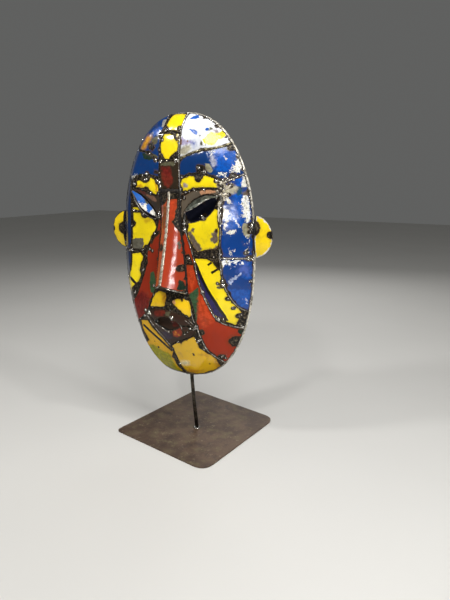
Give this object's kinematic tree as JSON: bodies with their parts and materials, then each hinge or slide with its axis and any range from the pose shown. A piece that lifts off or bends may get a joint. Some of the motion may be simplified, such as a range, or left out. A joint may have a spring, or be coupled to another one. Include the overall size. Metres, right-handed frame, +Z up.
{
  "type": "welded scrap metal face mask on a stand",
  "caption": "Oval face mask of welded painted drum-steel panels with raised wedge nose and hooded eyes, on a rod and square base plate.",
  "frame": {"origin": "on the underside of the base plate, straight below the foot of the stand rod", "axes": "+Z up, the face looks along -Y, +X to the viewer's right"},
  "size_m": [0.4124, 0.3202, 0.7122],
  "materials": {
    "yellow_enamel": "gloss, burnt at the welds",
    "blue_enamel": "gloss, scratched and burnt at the welds",
    "white_enamel": "gloss, scratched",
    "red_enamel": "gloss, burnt at the welds",
    "dark_enamel": "gloss",
    "burnt_steel": "heat-darkened",
    "bare_steel": "ground and dulled",
    "rusty_steel": "dark rust, scuffed"
  },
  "bodies": {
    "root": {"crown_yellow_upper": "yellow_enamel", "crown_yellow_lower": "yellow_enamel", "brow_yellow_right": "yellow_enamel", "brow_yellow_left": "yellow_enamel", "cheek_yellow_right": "yellow_enamel", "cheek_yellow_left": "yellow_enamel", "cheek_band_yellow_right": "yellow_enamel", "cheek_band_yellow_left": "yellow_enamel", "upper_lip_yellow_right": "yellow_enamel", "upper_lip_yellow_left": "yellow_enamel", "chin_yellow": "yellow_enamel", "chin_strip_left": "yellow_enamel", "ear_right": "yellow_enamel", "ear_left": "yellow_enamel", "forehead_blue": "blue_enamel", "brow_blue_right": "blue_enamel", "brow_blue_left": "blue_enamel", "side_blue_right": "blue_enamel", "side_blue_left": "blue_enamel", "jaw_blue_right": "blue_enamel", "jaw_blue_left": "blue_enamel", "eye_visor_left": "blue_enamel", "forehead_white": "white_enamel", "glabella_red": "red_enamel", "face_red_right": "red_enamel", "face_red_left": "red_enamel", "nose_right": "red_enamel", "nose_left": "red_enamel", "eye_plate_right": "dark_enamel", "eye_plate_left": "dark_enamel", "eyelid_strip_right": "burnt_steel", "eyelid_strip_left": "burnt_steel", "nose_underside": "burnt_steel", "lip_upper": "burnt_steel", "lip_lower": "burnt_steel", "mouth_plate": "burnt_steel", "eye_visor_right": "bare_steel", "rim_bar": "bare_steel", "stand_rod": "rusty_steel", "base_plate": "rusty_steel"}
  },
  "joints": []
}
